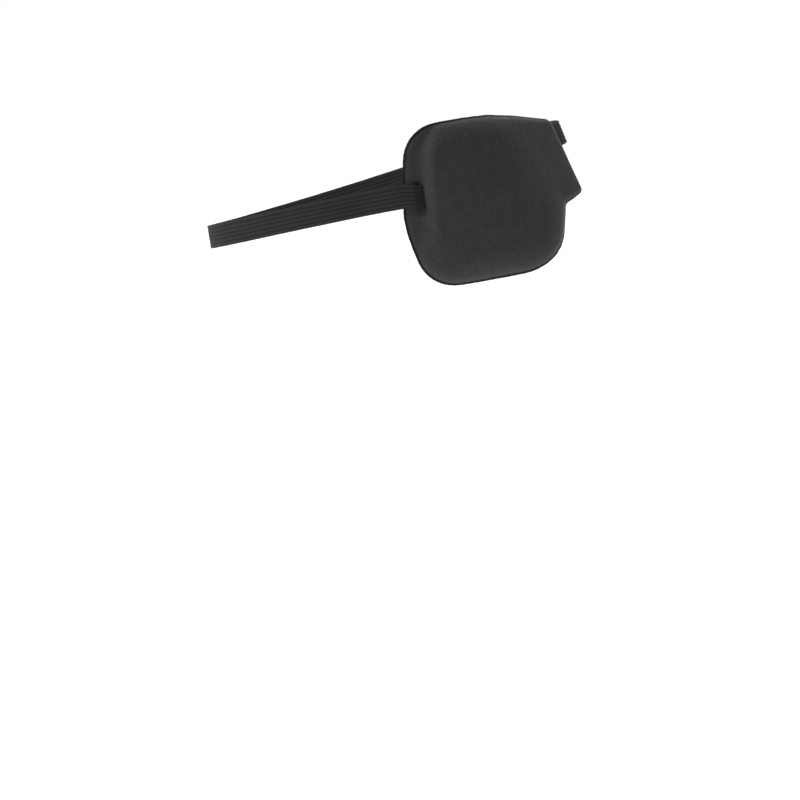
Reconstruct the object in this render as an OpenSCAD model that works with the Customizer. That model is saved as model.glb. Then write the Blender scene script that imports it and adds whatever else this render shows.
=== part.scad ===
// Eye patch in millimetres: a moulded foam patch for the right eye on an elastic head strap.
// The wearer faces -Y, the wearer's left is +X and up is +Z.
// The origin is the centre of the head loop, level with the place where the strap meets the patch.

/* [Head loop] */
// Half of the loop's width across the ears
loop_half_w = 76; // [74:0.5:78]
// Distance from the origin to the back of the loop
loop_back = 97; // [95:0.5:99]
// Height of the strap at the back of the head
back_drop = -7; // [-10:0.5:-4]
// Highest point of the strap, above the left brow
brow_rise = 19.5; // [17:0.5:22]

/* [Patch] */
// Height of the dome inside the patch
dome_h = 5; // [4:0.5:8]
// Thickness of the foam in the middle
foam_t = 3.2; // [2.5:0.1:4]
// Thickness of the foam pressed flat at the cut edge
foam_edge_t = 1; // [0.9:0.1:1.4]
// Thickness of the foam in the pressed border
foam_border_t = 2.4; // [2:0.1:2.7]
// Thickness of the outer and inner fabric
fabric_t = 0.5; // [0.4:0.05:0.7]
// Width over which the foam swells to its full thickness
swell = 6; // [5:0.5:8]
// Width of the low border at the temple
border = 8; // [7:0.5:9]
// Width of the dome's slope at the temple
wall = 11; // [10:0.5:14]

/* [Strap] */
// Width of the elastic
strap_w = 12.5; // [11:0.5:12.5]
// Thickness of the elastic
strap_t = 1.1; // [0.9:0.05:1.15]
// Length of strap sewn over the patch at the temple
temple_lap = 9.5; // [8.5:0.5:11]
// Length of strap sewn under the patch at the nose
nose_lap = 13; // [11:0.5:15]
// Distance between the slider and the ring
slider_to_ring = 60; // [54:1:64]

/* [Slider and ring] */
// Width of one bar
bar_w = 1.8; // [1.6:0.1:1.9]
// Thickness of the bars
bar_t = 1.6; // [1.4:0.1:1.7]
// Length of one window
window_l = 4.5; // [4.4:0.1:5]
// Width of one window
window_w = 13; // [12.8:0.1:14]
// Radius of the outer corners
corner_r = 2.2; // [1.5:0.1:2.4]

/* [Hidden] */
black_cloth = [0.06, 0.06, 0.065];
black_foam = [0.03, 0.03, 0.03];
black_elastic = [0.07, 0.065, 0.068];
black_plastic = [0.04, 0.04, 0.045];

// Head loop: two side arcs, a rear arc and a brow arc, joined tangentially.
side_r = 118;
left_r = 125;
side_y = 5;
side_x = side_r - loop_half_w;
rear_depth = loop_back - side_y;
rear_r = (side_r * side_r - side_x * side_x - rear_depth * rear_depth) / (2 * (side_r - rear_depth));
rear_y = loop_back - rear_r;
rear_angle = atan2(rear_y - side_y, side_x);
left_x = loop_half_w - left_r;
left_y = rear_y - sqrt((left_r - rear_r) * (left_r - rear_r) - left_x * left_x);
left_c = [left_x, left_y];
rear_left_angle = atan2(rear_y - left_y, -left_x);

// Patch base: a plan curve of two arcs that starts tangent to the right side arc.
temple_angle = 204;
patch_turn = 41;
patch_l = 88;
patch_r = patch_l / (patch_turn * PI / 180);
bridge_turn = 19;
bridge_l = 18;
bridge_r = bridge_l / (bridge_turn * PI / 180);
lean_max = 14;
lean_l = 100;

// Outline corners of the patch as [along, up, corner radius], measured on the base surface.
outline_corners = [
  [-2.5, -15.4, 60],
  [5.1, 33.6, 20],
  [54.2, 35.1, 150],
  [95.2, 26.9, 5],
  [98.8, -13.8, 3],
  [83.9, -18.7, 4],
  [68.7, -49.9, 30],
  [6.2, -49.7, 19]
];
outline_step = 4;
spoke_centre = [44, -7];
ring_steps = [0.3, 0.55, 0.68, 0.77, 0.85, 0.91, 0.95, 0.98, 1];

// Dome: its slope starts nearer the edge away from the temple, fades towards the nose flap and
// carries a low crown.
rim_border = 1;
rim_wall = 13;
rim_start = 8;
rim_l = 18;
rim_low = -12;
rim_low_l = 26;
edge_roll = 4;
pressed = 6.5;
fade_start = 52;
fade_l = 48;
fade_low = -32;
fade_w = 20;
crown_mid = [41, -7];
crown_half = [42, 42];
crown_h = 3.5;

// Flat seat under the elastic sewn on at the temple, turned down a little along the patch.
seat_l = 9.8;
seat_slope_l = 5;
seat_half = 7.7;
seat_slope_w = 5;
temple_z = -0.35;
lap_turn = 0.19;
lap_bend = 2;

layer_gap = 0.05;
gap = 0.15;
half_t = strap_t / 2;
half_w = strap_w / 2;

// Where the strap leaves the patch at the nose.
nose_u = 94.8;
nose_w = 18.3;
brow_run = 40;
nose_inset = gap + half_t;

// Slider and ring stations.
slider_s = 316;
ring_s = slider_s + slider_to_ring;
bar_pitch = window_l + bar_w;
wrap_r = norm([bar_w, bar_t]) / 2 + 0.05 + half_t;
layer = strap_t + gap;
under = bar_t / 2 + gap + half_t;
over = wrap_r + layer;
slider_n = under + 2 * layer;
ring_n = wrap_r;
ramp = 55;
loop_ramp = 30;
ring_ramp = 35;
ramp_r = 1.5;
rail_w = 2;
strap_step = 5;
slider_tail = 16;
ring_tail = 17;

// Bar tacks: rows of thread across the strap, a little inside its sewn end.
thread_w = 0.45;
thread_t = 0.3;
thread_step = 1.5;
temple_below = 6.8;
temple_above = 7.8;
tack_reach = 5.4;
tack_rows = 5;
tack_l = 3;
tack_inset = 0.8;

function unit(v) = v / norm(v);
function mix(a, b, t) = a + (b - a) * t;
function smooth(t) = let (x = max(0, min(1, t))) x * x * (3 - 2 * x);
function polar(r, a) = [r * cos(a), r * sin(a)];

// Points of an arc about c from angle a to angle b.
function arc(c, r, a, b) =
  let (n = max(2, ceil(abs(b - a) / 15)))
  [for (i = [0:n]) c + polar(r, mix(a, b, i / n))];

// Points of the rounded corner at b, between neighbours a and c; b is [x, y, radius].
function corner(a, b, c) =
  let (
    p = [b[0], b[1]],
    back = unit([a[0], a[1]] - p),
    ahead = unit([c[0], c[1]] - p),
    half = acos(back * ahead) / 2,
    mid = p + unit(back + ahead) * b[2] / sin(half),
    first = p + back * b[2] / tan(half) - mid,
    spin = (back[0] * ahead[1] - back[1] * ahead[0] > 0 ? -1 : 1) * (180 - 2 * half),
    start = atan2(first[1], first[0])
  )
  arc(mid, b[2], start, start + spin);

function rounded_loop(list) =
  let (n = len(list))
  [for (i = [0:n - 1]) each corner(list[(i + n - 1) % n], list[i], list[(i + 1) % n])];

// Drops points that repeat the one before.
function distinct(list) =
  [for (i = [0:len(list) - 1]) if (i == 0 || norm(list[i] - list[i - 1]) > 0.01) list[i]];

function rounded_path(list) =
  let (n = len(list))
  [
    [list[0][0], list[0][1]],
    for (i = [1:n - 2]) each corner(list[i - 1], list[i], list[i + 1]),
    [list[n - 1][0], list[n - 1][1]]
  ];

// Adds points on every stretch longer than step.
function filled(list, step) =
  [
    for (i = [0:len(list) - 2])
      let (n = max(1, ceil(norm(list[i + 1] - list[i]) / step)))
      for (k = [0:n - 1]) mix(list[i], list[i + 1], k / n),
    list[len(list) - 1]
  ];

// Patch base surface: u runs along the face from the temple, w runs up.
temple_at = [side_x, side_y] + polar(side_r, temple_angle);
patch_c = temple_at - polar(patch_r, temple_angle);
bridge_angle = temple_angle + patch_turn;
bridge_c = patch_c + polar(patch_r - bridge_r, bridge_angle);
function face_angle(u) =
  u < patch_l ? temple_angle + u / patch_r * 180 / PI
  : bridge_angle + (u - patch_l) / bridge_r * 180 / PI;
function face_plan(u) =
  u < patch_l ? patch_c + polar(patch_r, face_angle(u)) : bridge_c + polar(bridge_r, face_angle(u));
function lean(u) = lean_max * smooth(u / lean_l);
function face_up(u) = [0, sin(lean(u)), cos(lean(u))];
function face_out(u) =
  let (a = face_angle(u))
  unit(cross([-sin(a), cos(a), 0], face_up(u)));
function face(u, w, n) =
  let (p = face_plan(u))
  [p[0], p[1], 0] + w * face_up(u) + n * face_out(u);

// Heights above the base surface.
outline = distinct(rounded_loop(outline_corners));
function edge_gap(p) =
  let (n = len(outline))
  min([
    for (i = [0:n - 1])
      let (
        a = outline[i],
        side = outline[(i + 1) % n] - a,
        t = max(0, min(1, (p - a) * side / (side * side)))
      )
      norm(p - a - t * side)
  ]);
function limited(t) = max(0, min(1, t));
function eased(t) = 1 - pow(1 - limited(t), 2);
function away(u, w) = 1 - (1 - smooth((u - rim_start) / rim_l)) * (1 - smooth((rim_low - w) / rim_low_l));
function dome(u, w) =
  let (
    a = away(u, w),
    t = limited((edge_gap([u, w]) - mix(border, rim_border, a)) / mix(wall, rim_wall, a)),
    fade = smooth((u - fade_start) / fade_l) * smooth((w - fade_low) / fade_w)
  )
  mix(smooth(t), eased(t), a) * (1 - fade);
function crown(u, w) =
  let (r = norm([(u - crown_mid[0]) / crown_half[0], (w - crown_mid[1]) / crown_half[1]]))
  crown_h * pow(max(0, 1 - r * r), 1.5);
function lap_w(u) = temple_z - lap_turn * u * u / (u + lap_bend);
function beside_seat(u, w) =
  let (across = smooth((abs(w - lap_w(max(0, u))) - seat_half) / seat_slope_w))
  1 - (1 - smooth((u - seat_l) / seat_slope_l)) * (1 - across);
function inner_h(u, w) = (dome_h * dome(u, w) + crown(u, w)) * beside_seat(u, w);
function foam_thickness(u, w) =
  let (g = edge_gap([u, w]))
  mix(foam_edge_t, foam_border_t, eased(g / edge_roll))
  + (foam_t - foam_border_t) * eased((g - pressed * (1 - away(u, w))) / swell) * beside_seat(u, w);
function foam_low(u, w) = inner_h(u, w) + fabric_t + layer_gap;
function foam_high(u, w) = foam_low(u, w) + foam_thickness(u, w);
function cover_low(u, w) = foam_high(u, w) + layer_gap;
function cover_high(u, w) = cover_low(u, w) + fabric_t;

// Head loop as arcs [centre, radius, first angle, last angle], from the temple round to the nose.
nose_at = face(nose_u, nose_w, -nose_inset);
nose_plan = [nose_at[0], nose_at[1]];
nose_angle = face_angle(nose_u);
nose_out = polar(1, nose_angle);
nose_d = nose_plan - left_c;
brow_r = (left_r * left_r - nose_d * nose_d) / (2 * (left_r - nose_d * nose_out));
brow_c = nose_plan - brow_r * nose_out;
left_angle = atan2(brow_c[1] - left_c[1], brow_c[0] - left_c[0]);
loop_arcs = [
  [[side_x, side_y], side_r, temple_angle, 180 - rear_angle],
  [[0, rear_y], rear_r, 180 - rear_angle, rear_left_angle],
  [left_c, left_r, rear_left_angle, left_angle],
  [brow_c, brow_r, left_angle, nose_angle - 360]
];
function arc_l(a) = a[1] * (a[2] - a[3]) * PI / 180;
function sum(list, i = 0) = i < len(list) ? list[i] + sum(list, i + 1) : 0;
loop_l = sum([for (a = loop_arcs) arc_l(a)]);
back_s = arc_l(loop_arcs[0]) + rear_r * (90 - rear_angle) * PI / 180;

// Plan point and outward angle at distance s along the loop.
function along(s, i = 0) =
  let (a = loop_arcs[i], l = arc_l(a))
  s > l && i < len(loop_arcs) - 1 ? along(s - l, i + 1)
  : let (angle = a[2] - s / a[1] * 180 / PI) [each (a[0] + polar(a[1], angle)), angle];

// Height of the strap: keys of [distance, height, slope] joined by cubic curves.
rise_keys = [
  [0, temple_z, -0.03],
  [back_s, back_drop, 0.03],
  [loop_l - brow_run, brow_rise, 0.02],
  [loop_l, nose_at[2], -0.15]
];
function hermite(a, b, s) =
  let (l = b[0] - a[0], t = (s - a[0]) / l)
  a[1] + (b[1] - a[1]) * t * t * (3 - 2 * t) + l * a[2] * t * (1 - t) * (1 - t) - l * b[2] * t * t * (1 - t);
function rise(s) =
  s < back_s ? hermite(rise_keys[0], rise_keys[1], s)
  : s < rise_keys[2][0] ? hermite(rise_keys[1], rise_keys[2], s) : hermite(rise_keys[2], rise_keys[3], s);
function strap_lean(s) = lean(nose_u) * smooth((s - back_s - 60) / (loop_l - back_s - 60));

// Frame of the strap at s: [point, forward, up, outward]. Below 0 and past loop_l it lies on the patch.
function on_loop(s) =
  let (
    p = along(s),
    out = [cos(p[2]), sin(p[2]), 0],
    slope = (rise(s + 0.5) - rise(s - 0.5)),
    forward = unit([sin(p[2]), -cos(p[2]), slope]),
    tall = cos(strap_lean(s)) * [0, 0, 1] - sin(strap_lean(s)) * out,
    up = unit(tall - (tall * forward) * forward)
  )
  [[p[0], p[1], rise(s)], forward, up, cross(up, forward)];
function on_temple(s) = [face(-s, lap_w(-s), 0), [0, 0, 0], face_up(-s), face_out(-s)];
function on_nose(s) =
  let (u = nose_u - (s - loop_l))
  [face(u, nose_w, -nose_inset), [0, 0, 0], face_up(u), face_out(u)];
function strap_frame(s) = s < 0 ? on_temple(s) : s > loop_l ? on_nose(s) : on_loop(s);
function strap_point(s, n, w) =
  let (f = strap_frame(s))
  f[0] + n * f[3] + w * f[2];

// Offsets a flat path sideways by d.
function shifted(list, d) =
  let (last = len(list) - 1)
  [
    for (i = [0:last])
      let (
        back = unit(list[max(i, 1)] - list[max(i, 1) - 1]),
        ahead = unit(list[min(i, last - 1) + 1] - list[min(i, last - 1)]),
        t = unit(back + ahead)
      )
      list[i] + d * [-t[1], t[0]] / (t * back)
  ];

// Solid between four rails of the same length, with flat ends.
module rail_solid(rails) {
  n = len(rails[0]);
  sides = [
    for (k = [0:3])
      for (i = [0:n - 2])
        let (a = k * n + i, b = (k + 1) % 4 * n + i)
        each [[a, a + 1, b + 1], [a, b + 1, b]]
  ];
  ends = [[0, n, 2 * n], [0, 2 * n, 3 * n], [n - 1, 3 * n - 1, 2 * n - 1], [n - 1, 4 * n - 1, 3 * n - 1]];
  polyhedron(points = [for (r = rails) each r], faces = concat(sides, ends), convexity = 10);
}

// Elastic that follows a path of [distance, offset].
module elastic(path) {
  list = filled(distinct(path), strap_step);
  left = shifted(list, half_t);
  right = shifted(list, -half_t);
  rail_solid([
    [for (p = left) strap_point(p[0], p[1], half_w)],
    [for (p = left) strap_point(p[0], p[1], -half_w)],
    [for (p = right) strap_point(p[0], p[1], -half_w)],
    [for (p = right) strap_point(p[0], p[1], half_w)]
  ]);
}

// Bar tack from distance a on: rows of thread that run across the strap and turn back at each end.
// It reaches from below the middle of the strap to above it.
function tack(a, below, above) =
  let (turn_r = tack_l / (tack_rows - 1) / 2, sides = [turn_r - below, above - turn_r])
  [
    for (i = [0:tack_rows - 1])
      let (x = a + i * 2 * turn_r, w0 = sides[i % 2], w1 = sides[(i + 1) % 2], turn = i % 2 == 0 ? 0 : 360)
      each concat([[x, w0]], i < tack_rows - 1 ? arc([x + turn_r, w1], turn_r, 180, turn) : [[x, w1]])
  ];

// Thread along a path of [distance, across], laid on the height function.
module thread(path, height, side) {
  list = filled(distinct(path), thread_step);
  edges = [shifted(list, side * thread_w / 2), shifted(list, -side * thread_w / 2)];
  rail_solid([
    [for (p = edges[0]) strap_point(p[0], height(p[0], p[1]) + side * thread_t, p[1])],
    [for (p = edges[0]) strap_point(p[0], height(p[0], p[1]), p[1])],
    [for (p = edges[1]) strap_point(p[0], height(p[0], p[1]), p[1])],
    [for (p = edges[1]) strap_point(p[0], height(p[0], p[1]) + side * thread_t, p[1])]
  ]);
}

// Skin of the patch between two height functions.
module patch_layer(low, high) {
  edge = filled(concat(outline, [outline[0]]), outline_step);
  n = len(edge) - 1;
  rings = len(ring_steps);
  spots = [for (t = ring_steps) for (i = [0:n - 1]) mix(spoke_centre, edge[i], t)];
  m = n * rings;
  top = [for (p = spots) face(p[0], p[1], high(p[0], p[1]))];
  bottom = [for (p = spots) face(p[0], p[1], low(p[0], p[1]))];
  mid = [for (h = [high, low]) face(spoke_centre[0], spoke_centre[1], h(spoke_centre[0], spoke_centre[1]))];
  band = [
    for (k = [0:rings - 2])
      for (i = [0:n - 1])
        let (j = (i + 1) % n, a = k * n, b = a + n)
        each [[a + i, b + j, b + i], [a + i, a + j, b + j]]
  ];
  wall = [
    for (i = [0:n - 1])
      let (j = (i + 1) % n, a = m - n)
      each [[a + i, m + a + j, m + a + i], [a + i, a + j, m + a + j]]
  ];
  fan = [for (i = [0:n - 1]) [2 * m, (i + 1) % n, i]];
  fan_below = [for (i = [0:n - 1]) [2 * m + 1, m + i, m + (i + 1) % n]];
  flipped = [for (f = band) [m + f[0], m + f[2], m + f[1]]];
  polyhedron(points = concat(top, bottom, mid), faces = concat(band, flipped, wall, fan, fan_below));
}

module outer_cover() {
  color(black_cloth) patch_layer(function(u, w) cover_low(u, w), function(u, w) cover_high(u, w));
}

module foam_core() {
  color(black_foam) patch_layer(function(u, w) foam_low(u, w), function(u, w) foam_high(u, w));
}

module inner_lining() {
  color(black_cloth) patch_layer(function(u, w) inner_h(u, w), function(u, w) inner_h(u, w) + fabric_t);
}

// The elastic lies on the cover at the temple and settles onto the head behind the patch.
settle_l = 24;
lap_n = 2 * fabric_t + 2 * layer_gap + foam_border_t + gap + half_t;
temple_run = [for (s = [-temple_lap:2:settle_l]) [s, lap_n * (1 - smooth(s / settle_l))]];

// Run up to the slider, over its middle bar and on towards the ring.
foot = (over + under * cos(ramp)) / sin(ramp);
peak = over * tan(ramp / 2);
outer_run = rounded_path([
  [settle_l + 4, 0, 0],
  [slider_s - 34, 0, 40],
  [slider_s - 15, slider_n - under, 30],
  [slider_s - foot, slider_n - under, ramp_r],
  [slider_s - peak, slider_n + over, over - 0.05],
  [slider_s + peak, slider_n + over, over - 0.05],
  [slider_s + foot, slider_n - under, ramp_r],
  [slider_s + bar_pitch + 3, slider_n - under, ramp_r],
  [slider_s + bar_pitch + 4.5, slider_n - under + 0.6, ramp_r],
  [ring_s - bar_pitch / 2 - 12, ring_n + wrap_r, 30],
  [ring_s - bar_pitch / 2, ring_n + wrap_r, 0]
]);

// Round the ring's near bar, back under the slider and round its middle bar to the sewn tail.
ring_wrap = arc([ring_s - bar_pitch / 2, ring_n], wrap_r, 90, -90);
inner_foot = (slider_n * cos(loop_ramp) - wrap_r) / sin(loop_ramp);
inner_run = [
  each corner([ring_s, 0], [slider_s + inner_foot, 0, 3], [slider_s, slider_n - wrap_r / cos(loop_ramp)]),
  each arc([slider_s, slider_n], wrap_r, -90 - loop_ramp, -270 - ramp)
];
tail_n = slider_n - under - layer;
tail_foot = (wrap_r + (under + layer) * cos(ramp)) / sin(ramp);
tail_run = [
  each corner(
    [slider_s, slider_n + wrap_r / cos(ramp)],
    [slider_s + tail_foot, tail_n, ramp_r],
    [slider_s + slider_tail, tail_n]
  ),
  [slider_s + slider_tail, tail_n]
];

module long_strap() {
  color(black_elastic) elastic(concat(temple_run, outer_run, ring_wrap, inner_run, tail_run));
}

// From the nose seam round the ring's far bar and back onto itself.
far_bar = ring_s + bar_pitch / 2;
ring_foot = (wrap_r + (ring_n - layer) * cos(ring_ramp)) / sin(ring_ramp);
module short_strap() {
  path = [
    [loop_l + nose_lap, 0],
    [loop_l, 0],
    each arc([far_bar, ring_n], wrap_r, -90, -270 - ring_ramp),
    each corner(
      [far_bar, ring_n + wrap_r / cos(ring_ramp)],
      [far_bar + ring_foot, layer, ramp_r],
      [far_bar + ring_tail, layer]
    ),
    [far_bar + ring_tail, layer]
  ];
  color(black_elastic) elastic(path);
}

// Moulded plate with windows cut through it, laid on the strap path.
module plate(s, n, windows) {
  l = windows * window_l + (windows + 1) * bar_w;
  w = window_w + 2 * rail_w;
  f = strap_frame(s);
  at = f[0] + n * f[3];
  multmatrix([for (i = [0:2]) [f[1][i], -f[2][i], f[3][i], at[i]]])
    difference() {
      union() {
        cube([l - 2 * corner_r, w, bar_t], center = true);
        cube([l, w - 2 * corner_r, bar_t], center = true);
        for (x = [-1, 1], y = [-1, 1])
          translate([x * (l / 2 - corner_r), y * (w / 2 - corner_r), 0])
            cylinder(r = corner_r, h = bar_t, center = true);
      }
      for (i = [0:windows - 1])
        translate([(i - (windows - 1) / 2) * bar_pitch, 0, 0])
          cube([window_l, window_w, 2 * bar_t], center = true);
    }
}

module slider() {
  color(black_plastic) plate(slider_s, slider_n, 2);
}

module ring() {
  color(black_plastic) plate(ring_s, ring_n, 1);
}

// The thread climbs over the edges of the elastic.
function seam_h(s, w) =
  mix(lap_n + half_t + 2 * gap, lap_n - half_t, smooth((abs(w) - half_w - 0.6) / 0.9));
module temple_stitching() {
  path = tack(-temple_lap + tack_inset, temple_below, temple_above);
  color(black_elastic)
    thread(path, function(s, w) seam_h(s, w), 1);
}

module nose_stitching() {
  path = tack(loop_l + nose_lap - tack_l - tack_inset, tack_reach, tack_reach);
  color(black_elastic)
    thread(path, function(s, w) -half_t - gap, -1);
}

module ring_loop_stitching() {
  path = tack(far_bar + ring_tail - tack_l - tack_inset, tack_reach, tack_reach);
  color(black_elastic)
    thread(path, function(s, w) layer + half_t + gap, 1);
}

module slider_loop_stitching() {
  path = tack(slider_s + slider_tail - tack_l - tack_inset, tack_reach, tack_reach);
  color(black_elastic)
    thread(path, function(s, w) -half_t - gap, -1);
}

outer_cover();
foam_core();
inner_lining();
long_strap();
short_strap();
slider();
ring();
temple_stitching();
nose_stitching();
ring_loop_stitching();
slider_loop_stitching();
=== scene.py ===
"""Eye patch: a moulded foam patch for the right eye on a ribbed elastic head strap.

Sizes are in millimetres, as in part.scad, and turned into metres where a mesh is made.
"""
import math
import bpy
import numpy as np
from mathutils import Matrix, Vector


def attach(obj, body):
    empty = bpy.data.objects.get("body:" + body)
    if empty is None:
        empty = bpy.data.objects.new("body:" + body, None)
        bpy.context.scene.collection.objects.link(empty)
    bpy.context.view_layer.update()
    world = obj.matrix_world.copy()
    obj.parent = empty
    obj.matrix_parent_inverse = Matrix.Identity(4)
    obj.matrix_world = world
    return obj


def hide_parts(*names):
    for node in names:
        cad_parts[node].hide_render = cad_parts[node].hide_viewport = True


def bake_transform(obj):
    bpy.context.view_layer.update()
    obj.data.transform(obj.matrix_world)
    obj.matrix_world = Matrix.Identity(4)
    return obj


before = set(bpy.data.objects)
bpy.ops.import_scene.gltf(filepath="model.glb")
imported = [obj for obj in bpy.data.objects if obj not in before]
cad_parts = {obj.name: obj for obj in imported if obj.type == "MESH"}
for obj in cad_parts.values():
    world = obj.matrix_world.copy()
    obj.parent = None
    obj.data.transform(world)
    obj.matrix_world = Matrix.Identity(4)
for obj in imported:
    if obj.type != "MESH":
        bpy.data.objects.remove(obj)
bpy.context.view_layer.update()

MM = 0.001

# ---------------------------------------------------------------- sizes shared with part.scad
# Loop round the head
LOOP_HALF_W = 76
LOOP_BACK = 97
BACK_DROP = -7
BROW_RISE = 19.5
# Layers and dome of the patch
DOME_H = 5
FOAM_T = 3.2
FOAM_EDGE_T = 1
FOAM_BORDER_T = 2.4
FABRIC_T = 0.5
SWELL = 6
BORDER = 8
WALL = 11
# Elastic, slider and ring
STRAP_W = 12.5
STRAP_T = 1.1
TEMPLE_LAP = 9.5
NOSE_LAP = 13
SLIDER_TO_RING = 60
BAR_W = 1.8
BAR_T = 1.6
WINDOW_L = 4.5

# Plan of the loop and of the patch's own curve, with how far the face leans in towards the nose
SIDE_R = 118
SIDE_Y = 5
LEFT_R = 125
TEMPLE_ANGLE = 204
PATCH_TURN = 41
PATCH_L = 88
BRIDGE_TURN = 19
BRIDGE_L = 18
LEAN_MAX = 14
LEAN_L = 100
# Distance past the middle of the back where the strap starts to lean with the face
LEAN_START = 60
# Corners of the patch as (distance from the temple, height, radius)
OUTLINE = [
    (-2.5, -15.4, 60),
    (5.1, 33.6, 20),
    (54.2, 35.1, 150),
    (95.2, 26.9, 5),
    (98.8, -13.8, 3),
    (83.9, -18.7, 4),
    (68.7, -49.9, 30),
    (6.2, -49.7, 19),
]
# Middle of the rings of points that the patch's layers are made of
SPOKE_CENTRE = np.array([44.0, -7.0])
# The dome's slope away from the temple, where it starts nearer the edge
RIM_BORDER = 1
RIM_WALL = 13
RIM_START = 8
RIM_L = 18
RIM_LOW = -12
RIM_LOW_L = 26
# How the foam thickens inside its cut edge, and where it starts to swell at the temple
EDGE_ROLL = 4
PRESSED = 6.5
# Where the dome fades out over the nose flap
FADE_START = 52
FADE_L = 48
FADE_LOW = -32
FADE_W = 20
# Low second crown over the eyelid
CROWN_MID = (41, -7)
CROWN_HALF = (42, 42)
CROWN_H = 3.5
CROWN_POWER = 1.5
# Where the strap lies on the patch and how it runs over the slider and the ring
TEMPLE_Z = -0.35
LAP_TURN = 0.19
LAP_BEND = 2
LAYER_GAP = 0.05
GAP = 0.15
NOSE_U = 94.8
NOSE_W = 18.3
BROW_RUN = 40
SLIDER_S = 316
RAMP = 55
LOOP_RAMP = 30
RING_RAMP = 35
RAMP_R = 1.5
SLIDER_TAIL = 16
RING_TAIL = 17
SETTLE_L = 24
WRAP_GAP = 0.05

HALF_T = STRAP_T / 2
HALF_W = STRAP_W / 2
RING_S = SLIDER_S + SLIDER_TO_RING
BAR_PITCH = WINDOW_L + BAR_W
WRAP_R = math.hypot(BAR_W, BAR_T) / 2 + WRAP_GAP + HALF_T
LAYER = STRAP_T + GAP
UNDER = BAR_T / 2 + GAP + HALF_T
OVER = WRAP_R + LAYER
SLIDER_N = UNDER + 2 * LAYER
RING_N = WRAP_R

# The foam swells more steeply round the strap's seat than the plain CAD solid does.
SEAT_L = 9.4
SEAT_SLOPE_L = 2.6
SEAT_HALF = 7.3
SEAT_SLOPE_W = 4


# ---------------------------------------------------------------- small maths
def smooth(t):
    t = np.clip(t, 0, 1)
    return t * t * (3 - 2 * t)


def mix(a, b, t):
    return a + (b - a) * t


def eased(t):
    return 1 - (1 - np.clip(t, 0, 1)) ** 2


def sin_d(a):
    return np.sin(np.radians(a))


def cos_d(a):
    return np.cos(np.radians(a))


def polar(r, a):
    return np.stack([r * cos_d(a), r * sin_d(a)], -1)


def unit(v):
    return v / np.linalg.norm(v, axis=-1, keepdims=True)


def arc(c, r, a, b, step=9):
    n = max(2, math.ceil(abs(b - a) / step))
    return [np.array(c) + polar(r, a + (b - a) * i / n) for i in range(n + 1)]


def corner(a, b, c):
    """Points of the rounded corner at b = (x, y, radius), between neighbours a and c."""
    a, p, c = np.array(a[:2], float), np.array(b[:2], float), np.array(c[:2], float)
    back, ahead = unit(a - p), unit(c - p)
    half = math.degrees(math.acos(back @ ahead)) / 2
    mid = p + unit(back + ahead) * b[2] / sin_d(half)
    first = p + back * b[2] / math.tan(math.radians(half)) - mid
    spin = (-1 if back[0] * ahead[1] - back[1] * ahead[0] > 0 else 1) * (180 - 2 * half)
    start = math.degrees(math.atan2(first[1], first[0]))
    return arc(mid, b[2], start, start + spin)


def rounded_path(points):
    path = [np.array(points[0][:2], float)]
    for a, b, c in zip(points, points[1:], points[2:]):
        path += corner(a, b, c)
    return path + [np.array(points[-1][:2], float)]


def filled(points, step):
    """The same path with no repeated points and no stretch longer than step."""
    path = [np.array(points[0], float)]
    for p in points[1:]:
        gap = np.linalg.norm(p - path[-1])
        if gap > 0.01:
            n = math.ceil(gap / step)
            path += [path[-1] + (p - path[-1]) * k / n for k in range(1, n + 1)]
    return np.array(path)


RIPPLE_WAVES = 6
RIPPLE_PEAK = 3.5
CROSS_WAVE = 0.7


def ripple(x, y, size, seed):
    """Smooth uneven surface, from about -1 to 1, with bumps about size across."""
    total = 0
    rng = np.random.default_rng(seed)
    for _ in range(RIPPLE_WAVES):
        a, b, phase = rng.uniform(0, 2 * np.pi, 3)
        k = 2 * np.pi / size * rng.uniform(0.6, 1.4)
        wave = np.sin(k * (x * np.cos(a) + y * np.sin(a)) + phase)
        cross = np.cos(k * CROSS_WAVE * (x * np.sin(b) - y * np.cos(b)))
        total = total + wave * cross
    return total / RIPPLE_PEAK


# ---------------------------------------------------------------- base surface of the patch
side_c = np.array([SIDE_R - LOOP_HALF_W, SIDE_Y])
patch_r = PATCH_L / math.radians(PATCH_TURN)
bridge_r = BRIDGE_L / math.radians(BRIDGE_TURN)
patch_c = side_c + polar(SIDE_R, TEMPLE_ANGLE) - polar(patch_r, TEMPLE_ANGLE)
bridge_angle = TEMPLE_ANGLE + PATCH_TURN
bridge_c = patch_c + polar(patch_r - bridge_r, bridge_angle)


def face_angle(u):
    on_patch = TEMPLE_ANGLE + np.degrees(u / patch_r)
    on_bridge = bridge_angle + np.degrees((u - PATCH_L) / bridge_r)
    return np.where(u < PATCH_L, on_patch, on_bridge)


def lean(u):
    return LEAN_MAX * smooth(u / LEAN_L)


def face_frame(u):
    """Plan point, up and outward directions of the face at distance u from the temple."""
    a = face_angle(u)
    plan = np.where((u < PATCH_L)[..., None], patch_c + polar(patch_r, a), bridge_c + polar(bridge_r, a))
    up = np.stack([0 * u, sin_d(lean(u)), cos_d(lean(u))], -1)
    along = np.stack([-sin_d(a), cos_d(a), 0 * u], -1)
    return np.concatenate([plan, 0 * u[..., None]], -1), up, unit(np.cross(along, up))


def face(u, w, n):
    u, w, n = np.broadcast_arrays(np.asarray(u, float), w, n)
    point, up, out = face_frame(u)
    return point + w[..., None] * up + n[..., None] * out


# Longer than any side of the outline, so that filled only drops repeated points.
WHOLE_SIDE = 200
corner_sets = zip(OUTLINE[-1:] + OUTLINE[:-1], OUTLINE, OUTLINE[1:] + OUTLINE[:1])
outline = [p for before, here, after in corner_sets for p in corner(before, here, after)]
outline = filled(outline + [outline[0]], WHOLE_SIDE)[:-1]


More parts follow.
